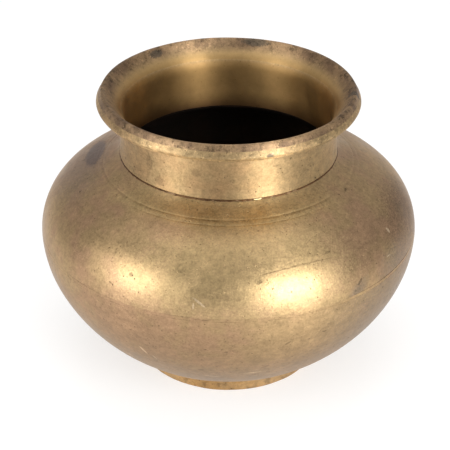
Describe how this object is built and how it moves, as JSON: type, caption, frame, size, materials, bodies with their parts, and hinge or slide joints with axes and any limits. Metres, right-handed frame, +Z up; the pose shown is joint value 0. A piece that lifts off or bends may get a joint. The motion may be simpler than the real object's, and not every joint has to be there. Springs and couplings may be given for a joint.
{
  "type": "brass kalash pot",
  "caption": "Round-bellied brass water pot with a short upright neck, a flared lip and a low foot ring, cast in pieces and brazed together.",
  "frame": {"origin": "centre of the foot ring's resting face, on the ground under the pot's axis", "axes": "+Z up the pot's axis of turning, from the foot to the mouth; +X and +Y are any two level directions at right angles, because the pot is round"},
  "size_m": [0.17, 0.17, 0.1328],
  "materials": {
    "body_brass": "old cast brass, rubbed to a satin polish, with brown tarnish and fine pits",
    "neck_brass": "paler cast brass, turned, satin, with fine casting pits and stains",
    "foot_brass": "orange cast brass, rough, worn where it stands",
    "brazing_metal": "dark, pitted brazing metal"
  },
  "bodies": {
    "root": {"lower_bowl": "body_brass", "shoulder": "body_brass", "neck_collar": "neck_brass", "foot_ring": "foot_brass", "belly_braze": "brazing_metal", "neck_braze": "brazing_metal", "foot_braze": "brazing_metal"}
  },
  "joints": []
}
